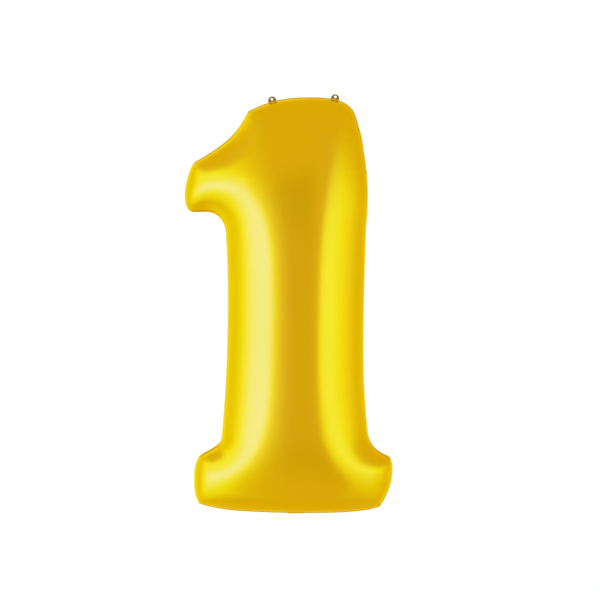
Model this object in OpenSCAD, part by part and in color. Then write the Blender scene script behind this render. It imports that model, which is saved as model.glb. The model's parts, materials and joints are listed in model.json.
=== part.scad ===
// Foil number balloon, digit one, inflated.
// Millimetres, +Z up, the front faces -Y. The origin is the hanging point, midway between
// the holes of the two hanging tabs. The welded seam lies in the plane y = 0.

/* [Inflated digit] */
// height from the bottom seam to the top seam
digit_h = 813; // [500:1:1040]
// greatest depth from the front film to the back film
depth = 190; // [120:1:230]
// reach of the foot to the left of the stem centre
foot_left = 200; // [180:1:215]
// reach of the foot to the right of the stem centre
foot_right = 189; // [175:1:205]
// height of the step where the foot ends
foot_h = 112; // [100:1:125]
// half width of the stem at its waist
stem_half = 133; // [115:1:138]
// reach of the hook to the left of the stem centre
hook_reach = 218; // [200:1:235]
// height of the flat under the hook
hook_under = 588; // [575:1:600]
// height of the upper corner of the hook
hook_top = 687; // [675:1:700]
// half width of the head at the shoulder
head_half = 141; // [136:1:150]

/* [Film and seam] */
// wall of each film panel
film_t = 0.6; // [0.4:0.1:1]
// width of the flat welded seam
seam_w = 4; // [3:0.5:6]

/* [Hanging tabs] */
// width of a tab
tab_w = 16; // [14:0.5:18]
// height of a tab above the seam
tab_h = 10; // [10:0.5:16]
// diameter of the punched hole
tab_hole_d = 5.2; // [3:0.1:6]
// thickness of a tab
tab_t = 0.6; // [0.4:0.1:1]
// left tab, distance from the stem centre
tab_left_x = -46; // [-60:1:-35]
// right tab, distance from the stem centre
tab_right_x = 76; // [65:1:85]

/* [Tail and valve] */
// width of the tail
tail_w = 30; // [26:1:40]
// length of the tail
tail_l = 42; // [34:1:55]
// thickness of each tail leaf
leaf_t = 0.4; // [0.3:0.1:0.6]
// diameter of the inlet hole
inlet_d = 7; // [5:0.5:9]
// angle at which the tail is folded back from hanging straight down
tail_fold = 102; // [60:1:110]
// width of the valve films
valve_w = 22; // [16:1:26]
// length of the valve films inside the balloon
valve_l = 140; // [100:1:180]
// thickness of each valve film
valve_t = 0.3; // [0.2:0.05:0.4]

/* [Hidden] */
$fn = 96;
k = digit_h / 813;
gold = [0.83, 0.62, 0.10];
bronze = [0.42, 0.29, 0.10];
clear = [0.86, 0.88, 0.90];
cols = 20;
// distance from the seam edge to a fold line, and from the fold line to the moving film
fold_gap = 0.75;
root_gap = 0.1;

// Each level of the digit has a station on its left side and one on its right side, each
// [x, z, heading in, heading out] with headings in degrees from +X, and the number of rows
// of film facets up to the next level.
levels = [
    // bottom corners
    [[-foot_left + 11, 18, 125, 125], [foot_right - 24, 13, 58, 58], 6],
    // widest part of the foot
    [[-foot_left, 72, 90, 90], [foot_right, 85, 90, 90], 3],
    // corners of the step
    [[-foot_left + 11, foot_h, 55, 36], [foot_right - 7, foot_h - 1, 130, 155], 3],
    // inside of the step
    [[-stem_half - 18, foot_h + 25, 44, 44], [stem_half + 14, foot_h + 26, 118, 118], 2],
    // bottom of the stem
    [[-stem_half - 12, foot_h + 45, 85, 85], [stem_half + 7, foot_h + 53, 96, 96], 9],
    // waist of the stem
    [[-stem_half - 1, 420, 90, 90], [stem_half, 400, 89, 89], 5],
    // top of the stem, below the hook
    [[-stem_half - 5, hook_under - 40, 94, 94], [head_half - 4, hook_under - 40, 88, 88], 3],
    // inside corner below the hook
    [[-stem_half - 27, hook_under - 3, 155, 155], [head_half - 1, hook_under + 4, 89, 89], 2],
    // flat under the hook
    [[-hook_reach + 22, hook_under, 180, 180], [head_half, hook_under + 38, 91, 91], 2],
    // lower corner of the hook
    [[-hook_reach + 5, hook_under + 8, 118, 118], [head_half - 1, hook_under + 58, 92, 92], 2],
    // end of the hook
    [[-hook_reach, hook_under + 34, 90, 90], [head_half - 2, hook_under + 76, 94, 94], 3],
    // below the upper corner of the hook
    [[-hook_reach + 9, hook_top - 20, 73, 73], [head_half - 5, hook_top + 2, 95, 95], 2],
    // upper corner of the hook
    [[-hook_reach + 21, hook_top, 45, 30], [head_half - 8, hook_top + 20, 97, 97], 4],
    // slope from the hook to the head
    [[-136, hook_top + 41, 40, 40], [head_half - 16, hook_top + 62, 106, 106], 7],
    // corners of the head
    [[-94, 785, 62, 30], [112, 787, 117, 125], 0]
];
// the bottom and top seams between the end stations
bottom_mid = [[-110, 4, -4, -4], [20, 0, 0, 0], [125, 4, 6, 6]];
top_mid = [[-48, 804, 16, 16], [25, 813, 0, 0], [80, 808, -14, -14]];

left = [for (l = levels) l[0]];
right = [for (l = levels) l[1]];
steps = [for (l = levels) l[2]];
last = len(levels) - 1;
bottom_start = [left[0].x, left[0].y, -17, -17];
bottom_end = [right[0].x, right[0].y, 20, 20];
top_start = [left[last].x, left[last].y, 30, 30];
top_end = [right[last].x, right[last].y, -55, -55];

function dir(a) = [cos(a), sin(a)];
function at(s) = [s[0], s[1]];
function bezier(a, b, c, d, t) =
    pow(1 - t, 3) * a + 3 * pow(1 - t, 2) * t * b + 3 * (1 - t) * t * t * c + t * t * t * d;
function between(s, e, t) =
    let (reach = 0.36 * norm(at(e) - at(s)))
    bezier(at(s), at(s) + reach * dir(s[3]), at(e) - reach * dir(e[2]), at(e), t);
function chain(st, n) = concat(
    [for (i = [0:len(st) - 2]) for (j = [0:n[i] - 1]) between(st[i], st[i + 1], j / n[i])],
    [at(st[len(st) - 1])]);
// as chain, with rows closing up towards the bottom seam and the top seam
function side_chain(st, n) =
    let (e = len(st) - 2)
    concat(
        [for (j = [0:n[0] - 1]) between(st[0], st[1], pow(j / n[0], 1.7))],
        [for (i = [1:e - 1]) for (j = [0:n[i] - 1]) between(st[i], st[i + 1], j / n[i])],
        [for (j = [0:n[e]]) between(st[e], st[e + 1], 1 - pow(1 - j / n[e], 1.7))]);

left_edge = side_chain(left, steps) * k;
right_edge = side_chain(right, steps) * k;
bottom_edge = chain(concat([bottom_start], bottom_mid, [bottom_end]), [5, 5, 5, 5]) * k;
top_edge = chain(concat([top_start], top_mid, [top_end]), [5, 5, 5, 5]) * k;
rows = len(left_edge) - 1;

// the seam edge as one loop, counterclockwise seen from the front
loop = concat(
    [for (i = [0:cols - 1]) bottom_edge[i]],
    [for (i = [0:rows - 1]) right_edge[i]],
    [for (i = [cols:-1:1]) top_edge[i]],
    [for (i = [rows:-1:1]) left_edge[i]]);
n_loop = len(loop);
function unit(v) = v / norm(v);
function inward(i, d) =
    let (
        a = unit(loop[i] - loop[(i + n_loop - 1) % n_loop]),
        b = unit(loop[(i + 1) % n_loop] - loop[i]),
        m = unit([-(a.y + b.y), a.x + b.x]))
    loop[i] + m * d / max(0.7, m * [-a.y, a.x]);
inner = [for (i = [0:n_loop - 1]) inward(i, seam_w)];

// the loop index of a grid point on the border
function on_loop(j, i) =
    j == 0 ? i : i == cols ? cols + j : j == rows ? cols + rows + cols - i
    : (2 * cols + 2 * rows - j) % n_loop;
function ease(i) = (1 - cos(180 * i / cols)) / 2;
function mix(a, b, t) = a * (1 - t) + b * t;
low_rows = 9;
high_rows = 11;
// points of the film in plan, inside the flat seam
function border(j, i) = inner[on_loop(j, i)];
function straight(j, i) = mix(border(j, 0), border(j, cols), ease(i));
function plan(j, i) =
    (j == 0 || j == rows || i == 0 || i == cols) ? border(j, i)
    : straight(j, i)
        + max(0, 1 - j / low_rows) * (border(0, i) - straight(0, i))
        + max(0, 1 - (rows - j) / high_rows) * (border(rows, i) - straight(rows, i));
grid = [for (j = [0:rows]) [for (i = [0:cols]) plan(j, i)]];

// Height of the inflated film: a mean distance to the seam in all directions, raised to a
// power, so that the film leaves the seam steeply and is fullest where the digit is widest.
function open_angle(p, a, b) =
    let (u = a - p, v = b - p, nu = norm(u), nv = norm(v))
    (1 / nu + 1 / nv) * (nu * nv - u * v) / (u.x * v.y - u.y * v.x);
function spread(p) =
    let (t = [for (i = [0:n_loop - 1]) open_angle(p, inner[i], inner[(i + 1) % n_loop])])
    1 / (t * [for (i = t) 1]);
raw = [for (j = [0:rows]) [for (i = [0:cols])
    (j == 0 || j == rows || i == 0 || i == cols) ? 0 : pow(max(spread(grid[j][i]), 0), 0.56)]];
crown = max([for (r = raw) max(r)]);
swell = depth / 2 - film_t;
outer = [for (j = [0:rows]) [for (i = [0:cols])
    [grid[j][i].x, -film_t - swell * raw[j][i] / crown, grid[j][i].y]]];
function face_out(j, i) = unit(cross(
    outer[j][i + 1] - outer[j][i - 1], outer[j + 1][i] - outer[j - 1][i]));
function skin(j, i) =
    (j == 0 || j == rows || i == 0 || i == cols)
    ? let (q = inward(on_loop(j, i), seam_w + film_t)) [q.x, 0, q.y]
    : outer[j][i] - film_t * face_out(j, i);

// vertices: outer film, inner film, outer edge of the seam at the front, the same at the back
per = (rows + 1) * (cols + 1);
points = concat(
    [for (r = outer) for (p = r) p],
    [for (j = [0:rows]) for (i = [0:cols]) skin(j, i)],
    [for (p = loop) [p.x, -film_t, p.y]],
    [for (p = loop) [p.x, 0, p.y]]);
function id(j, i) = j * (cols + 1) + i;
// the grid position of a point of the loop
function row_of(n) =
    n < cols ? 0 : n < cols + rows ? n - cols : n < 2 * cols + rows ? rows : n_loop - n;
function col_of(n) =
    n < cols ? n : n < cols + rows ? cols : n < 2 * cols + rows ? 2 * cols + rows - n : 0;
function border_id(n) = id(row_of(n % n_loop), col_of(n % n_loop));
function edge_id(n) = 2 * per + n % n_loop;
function back_id(n) = 2 * per + n_loop + n % n_loop;
film_faces = [for (j = [0:rows - 1]) for (i = [0:cols - 1]) each [
    [id(j, i), id(j + 1, i), id(j + 1, i + 1)],
    [id(j, i), id(j + 1, i + 1), id(j, i + 1)],
    [per + id(j, i), per + id(j + 1, i + 1), per + id(j + 1, i)],
    [per + id(j, i), per + id(j, i + 1), per + id(j + 1, i + 1)]]];
seam_faces = [for (n = [0:n_loop - 1]) each [
    [edge_id(n), border_id(n), border_id(n + 1)],
    [edge_id(n), border_id(n + 1), edge_id(n + 1)],
    [back_id(n), per + border_id(n + 1), per + border_id(n)],
    [back_id(n), back_id(n + 1), per + border_id(n + 1)],
    [edge_id(n), edge_id(n + 1), back_id(n + 1)],
    [edge_id(n), back_id(n + 1), back_id(n)]]];

// where the tabs stand on the top seam, and their lean
function top_at(x) =
    let (i = [for (i = [0:cols - 1]) if (top_edge[i].x <= x && top_edge[i + 1].x > x) i][0],
        a = top_edge[i], b = top_edge[i + 1])
    [x, mix(a.y, b.y, (x - a.x) / (b.x - a.x)), atan2(b.y - a.y, b.x - a.x)];
seat_left = top_at(tab_left_x * k);
seat_right = top_at(tab_right_x * k);
// height of the hole above the seam
hole_up = tab_h - tab_w / 4 - 1.3;
function hole_at(s) = [s[0] - hole_up * sin(s[2]), s[1] + hole_up * cos(s[2])];
hang = (hole_at(seat_left) + hole_at(seat_right)) / 2;

// the piece to draw

module placed() {
    translate([-hang.x, 0, -hang.y])
    children();
}

module film_panel() {
    polyhedron(points = points, faces = concat(film_faces, seam_faces), convexity = 6);
}

module front_panel() {
    color(gold)
    placed()
    film_panel();
}

module back_panel() {
    color(gold)
    placed()
    mirror([0, 1, 0])
    film_panel();
}

module valve_film(side) {
    placed()
    translate([-valve_w / 2, side > 0 ? 0 : -valve_t, 0.3])
    cube([valve_w, valve_t, valve_l]);
}

module valve_front_film() {
    color(clear)
    valve_film(-1);
}

module valve_back_film() {
    color(clear)
    valve_film(1);
}

module tab(s) {
    up = fold_gap + root_gap;
    radius = tab_w / 2;
    color(bronze)
    placed()
    translate([s[0], 0, s[1]])
    rotate([0, -s[2], 0])
    difference() {
        union() {
            translate([-radius, -tab_t / 2, up])
            cube([tab_w, tab_t, tab_h - radius - up]);
            translate([0, 0, tab_h - radius])
            rotate([90, 0, 0])
            cylinder(r = radius, h = tab_t, center = true);
        }
        translate([0, 0, hole_up])
        rotate([90, 0, 0])
        cylinder(d = tab_hole_d, h = 3 * tab_t, center = true);
        // the round end of the tab stops at its root
        translate([-tab_w, -tab_t, up - tab_w])
        cube([2 * tab_w, 2 * tab_t, tab_w]);
    }
}

module hanging_tab_left() {
    tab(seat_left);
}

module hanging_tab_right() {
    tab(seat_right);
}

module tail_leaf(side) {
    corner = 4;
    // drawn hanging straight down from the fold line, then folded back
    placed()
    translate([0, 0, -fold_gap])
    rotate([tail_fold, 0, 0])
    translate([0, side > 0 ? 0 : -leaf_t, 0]) {
        translate([-tail_w / 2, 0, corner - tail_l])
        cube([tail_w, leaf_t, tail_l - corner - root_gap]);
        translate([corner - tail_w / 2, 0, -tail_l])
        cube([tail_w - 2 * corner, leaf_t, corner + 1]);
        for (x = [-1, 1])
            translate([x * (tail_w / 2 - corner), 0, corner - tail_l])
            rotate([-90, 0, 0])
            cylinder(r = corner, h = leaf_t);
    }
}

module tail_front_leaf() {
    color(gold)
    difference() {
        tail_leaf(-1);
        placed()
        translate([0, 0, -fold_gap])
        rotate([tail_fold, 0, 0])
        translate([0, 0, -tail_l * 0.62])
        rotate([90, 0, 0])
        cylinder(d = inlet_d, h = 3 * leaf_t, center = true);
    }
}

module tail_back_leaf() {
    color(gold)
    tail_leaf(1);
}

front_panel();
back_panel();
valve_front_film();
valve_back_film();
hanging_tab_left();
hanging_tab_right();
tail_front_leaf();
tail_back_leaf();
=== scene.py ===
"""Looks of an inflated gold foil number balloon, digit one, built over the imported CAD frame."""

import json
import math

import bpy
import numpy as np
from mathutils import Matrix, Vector
from mathutils.geometry import delaunay_2d_cdt


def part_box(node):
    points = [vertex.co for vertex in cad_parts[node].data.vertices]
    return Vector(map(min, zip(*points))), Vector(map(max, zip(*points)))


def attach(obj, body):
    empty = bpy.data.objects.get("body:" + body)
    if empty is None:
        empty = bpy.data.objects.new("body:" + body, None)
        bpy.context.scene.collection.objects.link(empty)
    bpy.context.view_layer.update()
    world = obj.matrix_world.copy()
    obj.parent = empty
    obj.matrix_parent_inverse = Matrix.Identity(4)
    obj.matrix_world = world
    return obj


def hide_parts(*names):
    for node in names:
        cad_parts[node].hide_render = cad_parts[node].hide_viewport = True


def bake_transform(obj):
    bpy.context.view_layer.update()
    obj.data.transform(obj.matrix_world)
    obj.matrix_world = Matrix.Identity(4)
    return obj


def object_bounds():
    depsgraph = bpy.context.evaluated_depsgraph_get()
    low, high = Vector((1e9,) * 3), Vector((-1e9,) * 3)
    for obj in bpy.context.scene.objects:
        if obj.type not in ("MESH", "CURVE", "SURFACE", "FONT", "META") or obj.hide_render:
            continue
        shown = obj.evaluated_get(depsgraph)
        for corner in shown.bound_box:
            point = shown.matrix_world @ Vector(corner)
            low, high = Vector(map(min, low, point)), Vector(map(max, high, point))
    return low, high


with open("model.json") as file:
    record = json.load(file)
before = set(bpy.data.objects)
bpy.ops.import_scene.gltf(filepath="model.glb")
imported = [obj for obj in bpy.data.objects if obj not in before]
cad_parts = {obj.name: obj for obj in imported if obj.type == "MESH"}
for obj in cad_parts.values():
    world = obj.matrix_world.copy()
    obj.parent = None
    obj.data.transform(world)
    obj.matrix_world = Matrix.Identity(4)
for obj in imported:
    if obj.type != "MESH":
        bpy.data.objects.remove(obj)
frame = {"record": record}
cad_low, cad_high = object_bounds()
joints = {item["name"]: item for item in frame["record"]["behaviour"]["joints"]}

MM = 0.001

# ---------------------------------------------------------------- driving dimensions, in mm
# front to back over both panels of the CAD, and the thickness of its film
DEPTH = 190
CAD_FILM = 0.6
# the power of the distance to the seam with which the film swells
FULLNESS = 0.56
# the flange: its width, half its thickness, and how far its edge leans back
SEAM = 2.6
HALF_SEAM = 0.3
LEAN = 0.45
# the crimps of the flange: their depth, their pitch and the stretch over which they come and go
CRIMP = 0.35
CRIMP_PITCH = 17
CRIMP_STRETCH = 113
# the layers of the tail and the valve: half the thickness that they add to the flange, how far
# they reach from the middle of the bottom, and the length over which that fades
LAYERS = 0.2
LAYERS_REACH = 14
LAYERS_FADE = 10
# the puckers beside the seam: their height, their pitch, how far they run in and how soon they start
PUCKER = 1.2
PUCKER_PITCH = 21
PUCKER_REACH = 9
PUCKER_START = 3
# the foot's shoulders are fuller: x, z, width and fullness of each, within a distance to the seam
SHOULDERS = [(150, 118, 27, 0.20), (-168, 123, 24, 0.13)]
SHOULDER_REACH = 24.0
# how many rows of the mesh each row counted in LEVELS stands for, and the columns of the mesh
FINE = 4
COLS = 20 * FINE
# the rows that bend towards the bottom edge and towards the top edge
BOTTOM_ROWS = 9 * FINE
TOP_ROWS = 11 * FINE
# the power with which the rows close up at the bottom and the top seam
CLOSING = 1.7
# the length of a curve's handles, over the distance between its stations
HANDLE = 0.36
# how many points of the film are worked out at a time
BATCH = 2000

# ---------------------------------------------------------------- outline of the digit
# x from the stem centre, z from the bottom seam. Each level has a station on the left side and
# one on the right side, [x, z, heading in, heading out], and the number of rows to the next level.
LEVELS = [
    ((-189, 18, 125, 125), (165, 13, 58, 58), 6),
    ((-200, 72, 90, 90), (189, 85, 90, 90), 3),
    ((-189, 112, 55, 36), (182, 111, 130, 155), 3),
    ((-151, 137, 44, 44), (147, 138, 118, 118), 2),
    ((-145, 157, 85, 85), (140, 165, 96, 96), 9),
    ((-134, 420, 90, 90), (133, 400, 89, 89), 5),
    ((-138, 548, 94, 94), (137, 548, 88, 88), 3),
    ((-160, 585, 155, 155), (140, 592, 89, 89), 2),
    ((-196, 588, 180, 180), (141, 626, 91, 91), 2),
    ((-213, 596, 118, 118), (140, 646, 92, 92), 2),
    ((-218, 622, 90, 90), (139, 664, 94, 94), 3),
    ((-209, 667, 73, 73), (136, 689, 95, 95), 2),
    ((-197, 687, 45, 30), (133, 707, 97, 97), 4),
    ((-136, 728, 40, 40), (125, 749, 106, 106), 7),
    ((-94, 785, 62, 30), (112, 787, 117, 125), 0),
]
BOTTOM = [(-189, 18, -17, -17), (-110, 4, -4, -4), (20, 0, 0, 0), (125, 4, 6, 6), (165, 13, 20, 20)]
TOP = [(-94, 785, 30, 30), (-48, 804, 16, 16), (25, 813, 0, 0), (80, 808, -14, -14), (112, 787, -55, -55)]
# how far the hook reaches to the left of the stem's centre
HOOK_REACH = 218

# from outline millimetres to the row frame: the panel's box starts at the hook and the bottom seam
panel_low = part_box("front_panel")[0]
SHIFT = np.array([panel_low.x / MM + HOOK_REACH, 0.0, panel_low.z / MM])


def row_frame(p):
    """From outline millimetres (x, y, z) to the row frame in metres."""
    return (np.asarray(p, float) + SHIFT) * MM


def rad(a):
    return a * math.pi / 180


def unit(v):
    return v / np.maximum(np.linalg.norm(v, axis=-1, keepdims=True), 1e-12)


def smooth(t):
    """From 0 to 1 with level ends."""
    return t * t * (3 - 2 * t)


def heading(angle):
    return np.array([math.cos(rad(angle)), math.sin(rad(angle))])


def curve(start, end, t):
    """Points at fractions t of the smooth curve between two stations."""
    a, d = np.array(start[:2], float), np.array(end[:2], float)
    reach = HANDLE * np.linalg.norm(d - a)
    b = a + reach * heading(start[3])
    c = d - reach * heading(end[2])
    t = t[:, None]
    return (1 - t) ** 3 * a + 3 * (1 - t) ** 2 * t * b + 3 * (1 - t) * t * t * c + t ** 3 * d


def side(stations, steps):
    """One side of the outline, with rows closing up towards the bottom and the top seam."""
    out = []
    final = len(steps) - 1
    for i, n in enumerate(steps):
        t = np.arange(n + (i == final)) / n
        if i == 0:
            t = t ** CLOSING
        if i == final:
            t = 1 - (1 - t) ** CLOSING
        out.append(curve(stations[i], stations[i + 1], t))
    return np.vstack(out)


def edge(stations, per):
    """The bottom or the top of the outline, with the same number of points on each curve."""
    t = np.arange(per) / per
    parts = [curve(stations[i], stations[i + 1], t) for i in range(len(stations) - 1)]
    return np.vstack(parts + [np.array([stations[-1][:2]], float)])


steps = [row[2] * FINE for row in LEVELS[:-1]]
left_edge = side([row[0] for row in LEVELS], steps)
right_edge = side([row[1] for row in LEVELS], steps)
bottom_edge = edge(BOTTOM, COLS // 4)
top_edge = edge(TOP, COLS // 4)
ROWS = len(left_edge) - 1
loop = np.vstack([bottom_edge[:-1], right_edge[:-1], top_edge[:0:-1], left_edge[:0:-1]])
AROUND = len(loop)
# the grid position of each point of the loop
grid_row = np.concatenate([np.zeros(COLS), np.arange(ROWS), np.full(COLS, ROWS),
                           np.arange(ROWS, 0, -1)]).astype(int)
grid_col = np.concatenate([np.arange(COLS), np.full(ROWS, COLS), np.arange(COLS, 0, -1),
                           np.zeros(ROWS)]).astype(int)


# ---------------------------------------------------------------- the film in plan
def inward(distance):
    """The outline moved inwards."""
    before = unit(loop - np.roll(loop, 1, 0))
    after = unit(np.roll(loop, -1, 0) - loop)
    normal = np.stack([-before[:, 1], before[:, 0]], 1)
    middle = unit(normal + np.stack([-after[:, 1], after[:, 0]], 1))
    return loop + middle * distance / np.maximum(0.7, (middle * normal).sum(1, keepdims=True))


def to_line(points, line):
    """The distance from each point to an open line of points."""
    a, d = line[:-1], np.diff(line, axis=0)
    t = ((points[:, None] - a) * d).sum(2) / np.maximum((d * d).sum(1), 1e-12)
    near = a + np.clip(t, 0, 1)[..., None] * d
    return np.linalg.norm(points[:, None] - near, axis=2).min(1)


def along_line(line):
    """The distance along a line to each of its points."""
    return np.concatenate([[0], np.cumsum(np.linalg.norm(np.diff(line, axis=0), axis=1))])


def inner_ring():
    """The inner edge of the flange, with as many points as the outline: each side is moved in, cut
    off at its corners and given back its number of points."""
    corners = [0, COLS, COLS + ROWS, 2 * COLS + ROWS, AROUND]
    moved = inward(SEAM)
    ring = np.zeros((AROUND, 2))
    for a, b in zip(corners[:-1], corners[1:]):
        k = np.arange(a, b + 1) % AROUND
        others = loop[np.arange(b, a + AROUND + 1) % AROUND]
        keep = to_line(moved[k], others) > 0.99 * SEAM
        keep[[0, -1]] = True
        line = moved[k][keep]
        wanted = along_line(loop[k])
        at = along_line(line)
        for axis in (0, 1):
            ring[k[:-1], axis] = np.interp(wanted / wanted[-1] * at[-1], at, line[:, axis])[:-1]
    return ring


def film_plan():
    """Where each point of the grid lies, seen from the front. The rows run straight from side to
    side, and bend like the bottom and the top edge where they come near."""
    border = np.zeros((ROWS + 1, COLS + 1, 2))
    border[grid_row, grid_col] = inner
    ease = (1 - np.cos(np.pi * np.arange(COLS + 1) / COLS)) / 2
    straight = border[:, :1] * (1 - ease)[None, :, None] + border[:, -1:] * ease[None, :, None]
    j = np.arange(ROWS + 1)[:, None, None]
    out = (straight
           + np.maximum(0, 1 - j / BOTTOM_ROWS) * (border[:1] - straight[:1])
           + np.maximum(0, 1 - (ROWS - j) / TOP_ROWS) * (border[-1:] - straight[-1:]))
    out[grid_row, grid_col] = inner
    return out


inner = inner_ring()
plan = film_plan()
inside = np.ones((ROWS + 1, COLS + 1), bool)
inside[grid_row, grid_col] = False


# ---------------------------------------------------------------- how far the film swells
def spread(points, ring):
    """A mean distance to the seam in all directions, for each point."""
    out = np.empty(len(points))
    for k in range(0, len(points), BATCH):
        u = ring[None] - points[k:k + BATCH, None]
        v = np.roll(u, -1, 1)
        to_u, to_v = np.linalg.norm(u, axis=2), np.linalg.norm(v, axis=2)
        area = u[..., 0] * v[..., 1] - u[..., 1] * v[..., 0]
        dot = (u * v).sum(2)
        with np.errstate(divide="ignore", invalid="ignore"):
            weight = (1 / to_u + 1 / to_v) * (to_u * to_v - dot) / area
        out[k:k + BATCH] = 1 / weight.sum(1)
    return out


def domes(points):
    """The height of the inflated film over each point. The greatest is the CAD's."""
    room = np.maximum(spread(points, inner), 1e-6)
    near = np.maximum(np.log(SHOULDER_REACH / room), 0)
    fuller = np.zeros(len(room))
    for x, z, width, full in SHOULDERS:
        fuller += full * np.exp(-((points - [x, z]) ** 2).sum(1) / (2 * width ** 2))
    height = room ** FULLNESS * np.exp(fuller * near * near / (1 + near))
    return height * ((DEPTH / 2 - CAD_FILM) / height.max())


def puckers(points):
    """Shallow puckers run in from the seam, where the flat film was drawn in to a curved edge."""
    place = np.empty(len(points), int)
    away = np.empty(len(points))
    for k in range(0, len(points), BATCH):
        far = np.linalg.norm(points[k:k + BATCH, None] - inner[None], axis=2)
        place[k:k + BATCH] = far.argmin(1)
        away[k:k + BATCH] = far.min(1)
    s = 2 * np.pi * run[place]
    # they come and go along the seam, and aren't evenly spaced
    strength = 0.55 + 0.45 * np.sin(s / 97 + 0.7) * np.sin(s / 41 + 2)
    wave = np.sin(s / PUCKER_PITCH + 1.5 * np.sin(s / 155))
    return PUCKER * strength * wave * np.exp(-away / PUCKER_REACH) * (1 - np.exp(-away / PUCKER_START))


# the distance along the outline
run = along_line(loop)
swell = np.zeros((ROWS + 1, COLS + 1))
swell[inside] = domes(plan[inside]) + puckers(plan[inside])


# ---------------------------------------------------------------- the welded flange
# where a tab or the tail leaves it, x and z, and half the width over which it is flat there
SEATS = [(-46.0, 804.5, 9), (76.0, 808.8, 9), (0.0, 0.0, 17)]
# how far past a seat its full lean and crimp come back
SEAT_FADE = 12


def flange_lean():
    """How far the flange's edge lies behind the seam's plane: it leans back a little and is
    slightly crimped, but not at the seats."""
    s = 2 * np.pi * run
    out = LEAN + CRIMP * np.sin(s / CRIMP_PITCH) * (0.6 + 0.4 * np.sin(s / CRIMP_STRETCH + 1))
    for x, z, flat in SEATS:
        far = np.hypot(np.maximum(np.abs(loop[:, 0] - x) - flat, 0), loop[:, 1] - z)
        out = out * smooth(np.clip(far / SEAT_FADE, 0, 1))
    return out


def flange_thickness():
    """Half of it: the seam swells over the layers of the tail and the valve."""
    far = np.clip((np.hypot(loop[:, 0], loop[:, 1]) - LAYERS_REACH) / LAYERS_FADE, 0, 1)
    return HALF_SEAM + LAYERS * (1 - smooth(far))


# ---------------------------------------------------------------- making meshes
def new_object(name, verts, faces, material, sharp=()):
    mesh = bpy.data.meshes.new(name)
    mesh.from_pydata([tuple(v) for v in verts], [], [tuple(int(i) for i in f) for f in faces])
    mesh.materials.append(material)
    mesh.polygons.foreach_set("use_smooth", [True] * len(mesh.polygons))
    if len(sharp):
        wanted = {tuple(sorted((int(a), int(b)))) for a, b in sharp}
        for e in mesh.edges:
            if tuple(sorted(e.vertices)) in wanted:
                e.use_edge_sharp = True
    mesh.validate()
    mesh.update()
    obj = bpy.data.objects.new(name, mesh)
    bpy.context.scene.collection.objects.link(obj)
    return obj


def inside_loop(points, ring):
    """Which of the flat points lie inside a closed loop."""
    x, y = points[:, 0, None], points[:, 1, None]
    a, b = ring, np.roll(ring, -1, 0)
    crosses = (a[:, 1] > y) != (b[:, 1] > y)
    with np.errstate(divide="ignore", invalid="ignore"):
        at = a[:, 0] + (y - a[:, 1]) * (b[:, 0] - a[:, 0]) / (b[:, 1] - a[:, 1])
    return (crosses & (x < at)).sum(1) % 2 == 1


def flat_mesh(loops, step):
    """Triangles of about one size, inside the first loop and outside the others: their points and
    the corners of each."""
    low, high = loops[0].min(0), loops[0].max(0)
    gx, gy = np.meshgrid(np.arange(low[0], high[0], step), np.arange(low[1], high[1], step * 0.866))
    gx[1::2] += step / 2
    grid = np.column_stack([gx.ravel(), gy.ravel()])
    rims = np.vstack(loops)

    def on_sheet(points):
        keep = inside_loop(points, loops[0])
        for ring in loops[1:]:
            keep &= ~inside_loop(points, ring)
        return keep

    clear_of_rims = np.linalg.norm(grid[:, None] - rims[None], axis=2).min(1) > 0.55 * step
    points = np.vstack([rims, grid[clear_of_rims & on_sheet(grid)]])
    cuts, start = [], 0
    for ring in loops:
        cuts += [(start + i, start + (i + 1) % len(ring)) for i in range(len(ring))]
        start += len(ring)
    flat, _, tris, *_ = delaunay_2d_cdt([Vector(p) for p in points], cuts, [], 0, 1e-6)
    flat = np.array([tuple(v) for v in flat])
    tris = np.array(tris)
    return flat, tris[on_sheet(flat[tris].mean(1))]


def thin_sheet(name, outline, holes, step, lift, thickness, material):
    """A closed sheet cut from the flat: lift takes flat points to their places in millimetres in
    the row frame, and thickness gives the sheet's thickness there."""
    flat, tris = flat_mesh([np.asarray(ring, float) for ring in [outline] + holes], step)
    tiny = 1e-3
    place = lift(flat)
    normal = unit(np.cross(lift(flat + [tiny, 0]) - place, lift(flat + [0, tiny]) - place))
    half = thickness(flat)[:, None] / 2 * normal
    n = len(flat)
    sides = {(t[i], t[(i + 1) % 3]): True for t in tris for i in range(3)}
    rim = [(a, b) for a, b in sides if (b, a) not in sides]
    faces = [tuple(t) for t in tris] + [(n + t[2], n + t[1], n + t[0]) for t in tris]
    faces += [(b, a, n + a, n + b) for a, b in rim]
    used = sorted({i for f in faces for i in f})
    renumber = {old: new for new, old in enumerate(used)}
    verts = np.vstack([place + half, place - half])[used] * MM
    faces = [tuple(renumber[i] for i in f) for f in faces]
    sharp = [(renumber[a], renumber[b]) for a, b in rim]
    sharp += [(renumber[n + a], renumber[n + b]) for a, b in rim]
    return new_object(name, verts, faces, material, sharp)


def arc(cx, cy, r, start, end, n):
    """n points of an arc between two angles in degrees."""
    t = np.radians(np.linspace(start, end, n))
    return [(cx + r * math.cos(a), cy + r * math.sin(a)) for a in t]


# ---------------------------------------------------------------- making shaders
def principled(name, **values):
    """A material, its nodes and links, and its shader with these values set."""
    mat = bpy.data.materials.new(name)
    mat.use_nodes = True
    bsdf = mat.node_tree.nodes["Principled BSDF"]
    for key, value in values.items():
        bsdf.inputs[key.replace("_", " ")].default_value = value
    return mat, mat.node_tree.nodes, mat.node_tree.links, bsdf


def object_coordinates(nodes):
    return nodes.new("ShaderNodeTexCoord").outputs["Object"]


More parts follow.
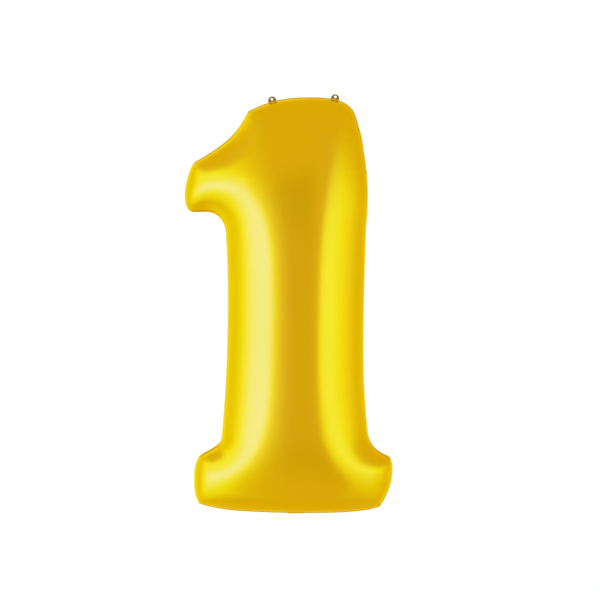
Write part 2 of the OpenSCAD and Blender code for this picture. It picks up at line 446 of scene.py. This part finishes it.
def noise(nodes, links, coords, scale, detail=2.0, rough=0.5):
    n = nodes.new("ShaderNodeTexNoise")
    n.inputs["Scale"].default_value = scale
    n.inputs["Detail"].default_value = detail
    n.inputs["Roughness"].default_value = rough
    links.new(coords, n.inputs["Vector"])
    return n.outputs["Fac"]


def ramp(nodes, links, source, low, high, to_low, to_high):
    """The source's range from low to high, stretched to another range."""
    n = nodes.new("ShaderNodeMapRange")
    n.inputs["From Min"].default_value = low
    n.inputs["From Max"].default_value = high
    n.inputs["To Min"].default_value = to_low
    n.inputs["To Max"].default_value = to_high
    links.new(source, n.inputs["Value"])
    return n.outputs["Result"]


def mix_colour(nodes, links, factor, a, b):
    """A mix of two colours, each a constant or a link."""
    n = nodes.new("ShaderNodeMix")
    n.data_type = "RGBA"
    links.new(factor, n.inputs["Factor"])
    for key, value in (("A", a), ("B", b)):
        if isinstance(value, tuple):
            n.inputs[key].default_value = (*value, 1)
        else:
            links.new(value, n.inputs[key])
    return n.outputs["Result"]


def bump(nodes, links, height, strength, distance, under=None):
    n = nodes.new("ShaderNodeBump")
    n.inputs["Strength"].default_value = strength
    n.inputs["Distance"].default_value = distance
    links.new(height, n.inputs["Height"])
    if under is not None:
        links.new(under, n.inputs["Normal"])
    return n.outputs["Normal"]


def math_node(nodes, links, operation, *values):
    n = nodes.new("ShaderNodeMath")
    n.operation = operation
    for socket, value in zip(n.inputs, values):
        if isinstance(value, (int, float)):
            socket.default_value = value
        else:
            links.new(value, socket)
    return n.outputs[0]


def vector_node(nodes, links, operation, *values):
    n = nodes.new("ShaderNodeVectorMath")
    n.operation = operation
    for socket, value in zip(n.inputs, values):
        if isinstance(value, tuple):
            socket.default_value = value
        else:
            links.new(value, socket)
    return n.outputs[0]


def lobe(nodes, links, angle, reach, stops):
    """A colour or a grey for each angle from -reach to reach degrees, smooth between its stops."""
    n = nodes.new("ShaderNodeValToRGB")
    n.color_ramp.interpolation = "B_SPLINE"
    links.new(ramp(nodes, links, angle, -reach, reach, 0.0, 1.0), n.inputs[0])
    elements = n.color_ramp.elements
    elements.remove(elements[1])
    for i, (at, value) in enumerate(stops):
        e = elements[0] if i == 0 else elements.new(1.0)
        e.position = (at + reach) / (2 * reach)
        value = value if isinstance(value, tuple) else (value,) * 3
        e.color = (*value, 1)
    return n.outputs["Color"]


# ---------------------------------------------------------------- materials
def film_material(name, tint, deep, edge_tint, roughness, metallic=1.0, wave=0.02, fine=0.01, patches=5.0):
    """Metallised film: mirror-like, with a slight haze, faint long ripples and fine grain."""
    mat, nodes, links, bsdf = principled(name, Metallic=metallic, Specular_Tint=(*edge_tint, 1))
    coords = object_coordinates(nodes)
    patch = ramp(nodes, links, noise(nodes, links, coords, patches, 3.0), 0.35, 0.65, 0.0, 1.0)
    links.new(mix_colour(nodes, links, patch, deep, tint), bsdf.inputs["Base Color"])
    haze = noise(nodes, links, coords, 14.0, 4.0)
    links.new(ramp(nodes, links, haze, 0.3, 0.7, roughness * 0.85, roughness * 1.2), bsdf.inputs["Roughness"])
    ripples = bump(nodes, links, noise(nodes, links, coords, 7.0, 1.0, 0.4), wave, 0.02)
    grain = bump(nodes, links, noise(nodes, links, coords, 900.0), fine, 0.0005, ripples)
    links.new(grain, bsdf.inputs["Normal"])
    return mat


def clear_material(name):
    """Clear film with a slight haze, creased from lying flat."""
    mat, nodes, links, bsdf = principled(
        name, Base_Color=(0.88, 0.91, 0.93, 1), Transmission_Weight=0.9, IOR=1.5)
    coords = object_coordinates(nodes)
    haze = noise(nodes, links, coords, 120.0, 3.0)
    links.new(ramp(nodes, links, haze, 0.3, 0.7, 0.12, 0.32), bsdf.inputs["Roughness"])
    creases = bump(nodes, links, noise(nodes, links, coords, 60.0, 4.0, 0.6), 0.2, 0.001)
    links.new(creases, bsdf.inputs["Normal"])
    return mat


def floor_material(name):
    mat, nodes, links, bsdf = principled(name, Roughness=0.6, Specular_IOR_Level=0.0)
    clouds = noise(nodes, links, object_coordinates(nodes), 3.0, 3.0)
    pale = mix_colour(nodes, links, clouds, (0.90, 0.90, 0.90), (0.93, 0.93, 0.93))
    links.new(pale, bsdf.inputs["Base Color"])
    return mat


gold = film_material("gold_film", (0.645, 0.364, 0.007), (0.637, 0.358, 0.006), (1.0, 0.8, 0.3), 0.12)
tail_gold = film_material("tail_film", (0.68, 0.40, 0.008), (0.61, 0.34, 0.006), (1.0, 0.75, 0.12), 0.3,
                          metallic=0.6, wave=0.14, fine=0.05)
# painted shade: the tabs are the same gold film, its colour painted darker to stand in for the shade of the
# crinkled, welded film
tab_gold_painted_shade = film_material("bronze_film", (0.36, 0.205, 0.024), (0.15, 0.075, 0.008), (1.0, 0.75, 0.3), 0.3,
                       wave=0.3, fine=0.1, patches=260.0)
clear = clear_material("clear_film")


# ---------------------------------------------------------------- the two film panels
def panel(name, sign):
    """One inflated panel with its half of the flange; sign -1 is the front, 1 the back."""
    half = flange_thickness()
    lean = flange_lean()
    grid = np.zeros((ROWS + 1, COLS + 1, 3))
    grid[..., 0] = plan[..., 0]
    grid[..., 1] = sign * (HALF_SEAM + swell)
    grid[..., 2] = plan[..., 1]
    grid[grid_row, grid_col, 1] = sign * half
    rim = np.column_stack([loop[:, 0], lean + sign * half, loop[:, 1]])
    mid = np.column_stack([loop[:, 0], lean, loop[:, 1]])
    verts = np.vstack([grid.reshape(-1, 3), rim, mid])
    ids = np.arange((ROWS + 1) * (COLS + 1)).reshape(ROWS + 1, COLS + 1)
    quads = np.stack([ids[:-1, :-1], ids[:-1, 1:], ids[1:, 1:], ids[1:, :-1]], -1).reshape(-1, 4)
    at_border = ids[grid_row, grid_col]
    at_rim = ids.size + np.arange(AROUND)
    at_mid = at_rim + AROUND
    following = np.roll(np.arange(AROUND), -1)
    flange = np.stack([at_rim, at_rim[following], at_border[following], at_border], -1)
    side_faces = np.stack([at_mid, at_mid[following], at_rim[following], at_rim], -1)
    faces = np.vstack([quads, flange, side_faces])
    if sign > 0:
        faces = faces[:, ::-1]
    return new_object(name, row_frame(verts), faces, gold, list(zip(at_rim, at_rim[following])))


front = panel("front_film", -1)
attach(front, "balloon")
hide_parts("front_panel")
back = panel("back_film", 1)
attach(back, "balloon")
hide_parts("back_panel")

# ---------------------------------------------------------------- the hanging tabs
# from the flange's edge to a hinge's axis: the CAD has a small gap at each crease
GAP = 0.75
# how much wider a tab or the tail is on each side where it lies between the panels
ROOT_WIDER = 1.7
TAB_W, TAB_H = 16.0, 10.0
# how far a tab's root reaches down between the panels
TAB_ROOT = 1.7
# the radius and the height of the rounding at the root
TAB_FILLET, FILLET_UP = 1.6, 1.3
HOLE_R, HOLE_UP = 2.6, 4.7
# how far its tip curls forward, how much it is skewed and how deep it ripples
CURL, SKEW, RIPPLE = 1.1, 0.09, 0.12
# its thickness, and its raised rim: height, width and how far up it starts
TAB_FILM = 0.36
BEAD, BEAD_W, BEAD_FROM = 0.26, 0.6, 0.6
# the size of its triangles
TAB_STEP = 0.8


def tab(name, joint, node, twist):
    """A half-round ear of welded film, cut in one with the flange and punched with a hole."""
    hinge = np.array(joints[joint]["pos_m"]) / MM
    across = unit(np.array(joints[joint]["axis"], float))
    up = np.cross(across, [0, 1, 0])
    r = TAB_W / 2
    outline = arc(0, TAB_H - r, r, 0, 180, 61)
    outline += arc(-r - TAB_FILLET, FILLET_UP, TAB_FILLET, 0, -75, 8) + [(-r - ROOT_WIDER, -TAB_ROOT)]
    outline += [(x, -TAB_ROOT) for x in np.linspace(-r, r, 21)]
    outline += [(r + ROOT_WIDER, -TAB_ROOT)] + arc(r + TAB_FILLET, FILLET_UP, TAB_FILLET, 255, 180, 8)
    hole = arc(0, HOLE_UP, HOLE_R, 0, 360, 41)[:-1]

    def lift(p):
        u, v = p[:, 0], p[:, 1]
        high = np.clip(v / TAB_H, 0, 1)
        off = -CURL * high ** 2 + twist * SKEW * u * high + RIPPLE * np.sin(0.8 * u + twist) * high
        return hinge + u[:, None] * across + (v[:, None] - GAP) * up + off[:, None] * np.array([0, 1, 0])

    def thickness(p):
        u, v = p[:, 0], p[:, 1]
        to_rim = np.where(v > TAB_H - r, r - np.hypot(u, v - (TAB_H - r)), r - np.abs(u))
        to_rim = np.minimum(to_rim, np.hypot(u, v - HOLE_UP) - HOLE_R)
        bead = np.exp(-(np.maximum(to_rim, 0) / BEAD_W) ** 2) * np.clip(v - BEAD_FROM, 0, 1)
        return TAB_FILM + BEAD * bead

    obj = thin_sheet(name, outline, [hole], TAB_STEP, lift, thickness, tab_gold_painted_shade)
    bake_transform(obj)
    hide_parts(node)


tab("tab_left_film", "tab_left_bend", "hanging_tab_left", 0.7)
tab("tab_right_film", "tab_right_bend", "hanging_tab_right", -0.8)

# ---------------------------------------------------------------- the inlet tail
TAIL_W, TAIL_L, TAIL_CORNER = 30.0, 42.0, 4.0
# how far its root reaches up between the panels, and the rounding there
TAIL_ROOT, TAIL_FILLET = 2.6, 2.0
# how far it turns back at the fold, and the fold's radius
FOLD, FOLD_R = rad(102), 0.6
# the inlet hole, and how far it is from the fold
INLET_R, INLET_AT = 3.5, 0.62 * TAIL_L
# from the fold line to where its rounding ends, and half the rounding's length
REACH = FOLD_R * math.tan(FOLD / 2)
HALF_ARC = FOLD_R * FOLD / 2
# a leaf's thickness at its root, and what it gains past the fold
LEAF_ROOT, LEAF_GAIN = 0.14, 0.22
# how far a leaf lies from the tail's middle at its root, what it gains past the fold, and its puff
APART_ROOT, APART_GAIN, PUFF = 0.08, 0.13, 0.175
# the weld lines' depth, their distance from the tail's centre line and their width
WELD, WELD_AT, WELD_W = 0.16, 11.8, 0.7
# the size of its triangles
TAIL_STEP = 1.6
tail_hinge = np.array(joints["tail_bend"]["pos_m"]) / MM


def leaf_outline():
    """The flat shape of a leaf, with the middle of the fold at 0."""
    r, w, tip = TAIL_CORNER, TAIL_W / 2, TAIL_L - REACH + HALF_ARC
    out = arc(w - r, tip - r, r, 0, 90, 9) + [(x, tip) for x in np.linspace(w - r, r - w, 14)[1:-1]]
    out += arc(r - w, tip - r, r, 90, 180, 9)
    out += [(-w, y) for y in np.linspace(tip - r, TAIL_FILLET, 22)[1:]]
    out += arc(-w - TAIL_FILLET, TAIL_FILLET, TAIL_FILLET, 0, -80, 6)[1:]
    out += [(-w - ROOT_WIDER, -TAIL_ROOT)]
    out += [(x, -TAIL_ROOT) for x in np.linspace(-w, w, 19)]
    out += [(w + ROOT_WIDER, -TAIL_ROOT)] + arc(w + TAIL_FILLET, TAIL_FILLET, TAIL_FILLET, 260, 180, 6)
    return out + [(w, y) for y in np.linspace(TAIL_FILLET, tip - r, 22)[1:-1]]


def leaf(name, node, facing_out, holes):
    """One leaf of the tail, facing_out 1 for the front one and -1 for the back one. It leaves the
    flange between the panels, turns round the fold and lies back under the balloon."""

    def grown(along):
        """From 0 inside the flange to 1 just past the fold."""
        return np.clip((along + 0.9) / 1.9, 0, 1)

    def lift(p):
        t, along = p[:, 0], p[:, 1]
        turned = np.clip((along + HALF_ARC) / (2 * HALF_ARC), 0, 1) * FOLD
        # the rounded fold, then what is straight before and after it
        beyond = np.maximum(along - HALF_ARC, 0)
        y = FOLD_R * (1 - np.cos(turned)) + beyond * math.sin(FOLD)
        z = REACH - FOLD_R * np.sin(turned) + np.maximum(-along - HALF_ARC, 0) - beyond * math.cos(FOLD)
        free = np.clip(along / TAIL_L, 0, 1)
        wave = free * (0.5 * np.sin(0.21 * t + 0.11 * along) + 0.3 * np.sin(0.33 * t - 0.19 * along + 2))
        puff = PUFF * np.cos(np.pi * t / (TAIL_W + 4)) * np.sin(np.pi * free)
        off = facing_out * (APART_ROOT + APART_GAIN * grown(along) + puff) + wave
        facing = np.column_stack([0 * t, -np.cos(turned), -np.sin(turned)])
        return np.column_stack([t, y, z]) + tail_hinge + off[:, None] * facing

    def thickness(p):
        t, along = p[:, 0], p[:, 1]
        weld = WELD * np.exp(-((np.abs(t) - WELD_AT) / WELD_W) ** 2)
        return LEAF_ROOT + (LEAF_GAIN - weld) * grown(along)

    obj = thin_sheet(name, leaf_outline(), holes, TAIL_STEP, lift, thickness, tail_gold)
    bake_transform(obj)
    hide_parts(node)


inlet = arc(0, INLET_AT - REACH + HALF_ARC, INLET_R, 0, 360, 41)[:-1]
leaf("tail_front_film", "tail_front_leaf", 1, [inlet])
leaf("tail_back_film", "tail_back_leaf", -1, [])

# ---------------------------------------------------------------- the valve, inside the balloon
for node in ("valve_front_film", "valve_back_film"):
    for place in bpy.data.objects[node].material_slots:
        place.material = clear

# ---------------------------------------------------------------- floor
# half its side, and how far below the balloon it lies, in metres
FLOOR_HALF = 6.0
FLOOR_DROP = 1.15
fz = cad_low.z - FLOOR_DROP
floor = new_object("floor", [(-FLOOR_HALF, -FLOOR_HALF, fz), (FLOOR_HALF, -FLOOR_HALF, fz),
                             (FLOOR_HALF, FLOOR_HALF, fz), (-FLOOR_HALF, FLOOR_HALF, fz)],
                   [(0, 1, 2, 3)], floor_material("pale_floor"))
# the film mirrors the studio down to below the horizon
floor.visible_glossy = False

# ---------------------------------------------------------------- the studio that the film mirrors
# the room that the background shows, and the room that the film mirrors
PLAIN_WHITE = (1.1, 1.1, 1.1)
WARM_WHITE = (1.1, 1.1, 0.35)
# one over the film's colour: from the brightness of the lit film to that of the light
FILM_TO_LIGHT = (1 / 0.64, 1 / 0.36, 1 / 0.007)
# how much darker the room is towards the camera
DARK_DEPTH = (0.16, 0.17, 0.17)


def directions(nodes, links):
    """Azimuth from the camera's side, positive to the right, and elevation, in degrees."""
    split = nodes.new("ShaderNodeSeparateXYZ")
    links.new(nodes.new("ShaderNodeTexCoord").outputs["Generated"], split.inputs[0])
    to_degrees = 180 / math.pi
    behind = math_node(nodes, links, "MULTIPLY", split.outputs["Y"], -1.0)
    around = math_node(nodes, links, "ARCTAN2", split.outputs["X"], behind)
    above = math_node(nodes, links, "ARCSINE", split.outputs["Z"])
    return (math_node(nodes, links, "MULTIPLY", around, to_degrees),
            math_node(nodes, links, "MULTIPLY", above, to_degrees))


def studio_light(nodes, links):
    """A wide soft light on either side, and a little darkness towards the camera."""
    azimuth, elevation = directions(nodes, links)

    def past(angle, start):
        return math_node(nodes, links, "MAXIMUM", math_node(nodes, links, "SUBTRACT", angle, start), 0.0)

    def times(value, factor):
        return math_node(nodes, links, "MULTIPLY", value, factor)

    def product(a, b):
        return vector_node(nodes, links, "MULTIPLY", a, b)

    # the inner edge of each light leans outwards with height
    azimuth_left = math_node(nodes, links, "ADD", azimuth, times(past(elevation, 12.0), 0.8))
    height = math_node(nodes, links, "MINIMUM", elevation, 40.0)
    height = math_node(nodes, links, "MAXIMUM", height, -8.0)
    azimuth_right = math_node(nodes, links, "SUBTRACT", azimuth, times(height, 0.7))
    left = lobe(nodes, links, azimuth_left, 180, [
        (-180, (0, 0, 0)), (-164, (0.04, 0.09, 0)), (-152, (0.09, 0.20, 0)), (-138, (0.10, 0.20, 0)),
        (-120, (0.09, 0.165, 0)), (-103, (0.115, 0.21, 0)), (-93, (0.175, 0.30, 0)),
        (-85, (0.22, 0.37, 0)), (-77, (0.232, 0.41, 0)), (-60, (0.225, 0.45, 0)),
        (-42, (0.225, 0.45, 0)), (-36, (0.235, 0.45, 0)), (-30, (0.22, 0.38, 0)),
        (-24, (0.13, 0.20, 0)), (-18, (0.07, 0.11, 0)), (-12, (0.02, 0.04, 0)), (-5, (0, 0, 0))])
    left_height = lobe(nodes, links, elevation, 90, [
        (-84, 0), (-75, 0.1), (-63, 0.4), (-51, 0.6), (-39, 0.72), (-27, 0.86), (-15, 0.96), (-3, 1),
        (9, 0.93), (21, 0.9), (29, 0.9), (35, 0.62), (40, 0.16), (48, 0.04), (60, 0)])
    right = lobe(nodes, links, azimuth_right, 180, [
        (26, (0, 0, 0)), (30, (0.02, 0.03, 0)), (33, (0.15, 0.22, 0)), (36.5, (0.235, 0.40, 0)),
        (45, (0.24, 0.455, 0)), (57, (0.235, 0.43, 0)), (66, (0.22, 0.385, 0)), (77, (0.205, 0.32, 0)),
        (90, (0.16, 0.21, 0)), (104, (0.10, 0.13, 0)), (120, (0.05, 0.07, 0)), (136, (0.07, 0.14, 0)),
        (152, (0.07, 0.14, 0)), (164, (0.03, 0.06, 0)), (180, (0, 0, 0))])
    # the right one's upper edge comes down towards the back
    fallen = math_node(nodes, links, "ADD", elevation, times(past(azimuth, 60.0), 0.15))
    right_height = lobe(nodes, links, fallen, 90, [
        (-80, 0), (-66, 0.1), (-54, 0.18), (-42, 0.32), (-30, 0.48), (-18, 0.64), (-9, 0.8), (-2, 1),
        (4, 0.9), (10, 0.65), (16, 0.28), (22, 0.1), (30, 0)])
    # the whiter middle of each light
    cream = lobe(nodes, links, azimuth_left, 180, [
        (-90, (0, 0, 0)), (-78, (0, 0, 0.03)), (-63, (0, 0, 0.22)), (-50, (0, 0, 0.26)),
        (-38, (0, 0, 0.25)), (-33, (0, 0, 0.12)), (-28, (0, 0, 0)), (32, (0, 0, 0)),
        (40, (0, 0, 0.035)), (52, (0, 0, 0.035)), (64, (0, 0, 0))])
    cream_height = lobe(nodes, links, elevation, 90, [
        (-34, 0), (-21, 0.2), (-10, 0.85), (-3, 1.1), (4, 0.75), (10, 0.32), (18, 0.14), (30, 0.08), (40, 0)])
    dark = lobe(nodes, links, azimuth, 180, [
        (-26, 0), (-14, 0.35), (-4, 0.85), (4, 1), (15, 1), (22, 0.7), (28, 0)])
    dark_height = lobe(nodes, links, elevation, 90, [
        (-52, 0), (-38, 0.35), (-26, 0.75), (-14, 0.7), (-4, 0.42), (1, 0.5), (6, 1.1), (11, 1.3),
        (16, 0.4), (22, 0)])
    light = vector_node(nodes, links, "ADD", product(left, left_height), product(right, right_height))
    light = vector_node(nodes, links, "ADD", light, product(cream, cream_height))
    return vector_node(nodes, links, "SUBTRACT", product(light, FILM_TO_LIGHT),
                       product(product(dark, dark_height), DARK_DEPTH))


world = bpy.data.worlds.new("studio")
bpy.context.scene.world = world
world.use_nodes = True
nodes, links = world.node_tree.nodes, world.node_tree.links
mirrored = vector_node(nodes, links, "ADD", studio_light(nodes, links), WARM_WHITE)
# the film mirrors all of this, while the background and the floor see a plain white room
glossy = nodes.new("ShaderNodeLightPath").outputs["Is Glossy Ray"]
links.new(mix_colour(nodes, links, glossy, PLAIN_WHITE, mirrored), nodes["Background"].inputs["Color"])

# ---------------------------------------------------------------- lamp and camera
# a soft lamp high on the left, for the surfaces that don't mirror the studio
lamp = bpy.data.lights.new("soft_lamp", "AREA")
lamp.shape = "DISK"
lamp.size = 1.6
lamp.energy = 14
key = bpy.data.objects.new("soft_lamp", lamp)
key.location = (-1.2, -1.8, 1.4)
middle = (cad_low + cad_high) / 2
key.rotation_mode = "QUATERNION"
key.rotation_quaternion = (Vector((middle.x, 0, middle.z)) - key.location).to_track_quat("-Z", "Y")
key.visible_glossy = False
bpy.context.scene.collection.objects.link(key)

# how far off the camera is and the side of the square that it takes in there, in metres, the
# width of its sensor, and the point that it looks at, in outline millimetres
DISTANCE = 3.0
FRAME_SIDE = 1.1732
SENSOR = 36
AIM_X, AIM_Z = 7.8, 416.5
camera_data = bpy.data.cameras.new("camera")
camera = bpy.data.objects.new("camera", camera_data)
bpy.context.scene.collection.objects.link(camera)
camera_data.sensor_width = SENSOR
camera_data.lens = SENSOR * DISTANCE / FRAME_SIDE
camera.location = row_frame((AIM_X, -DISTANCE / MM, AIM_Z))
camera.rotation_euler = (math.pi / 2, 0, 0)
bpy.context.scene.camera = camera
bpy.context.scene.view_settings.view_transform = "Standard"
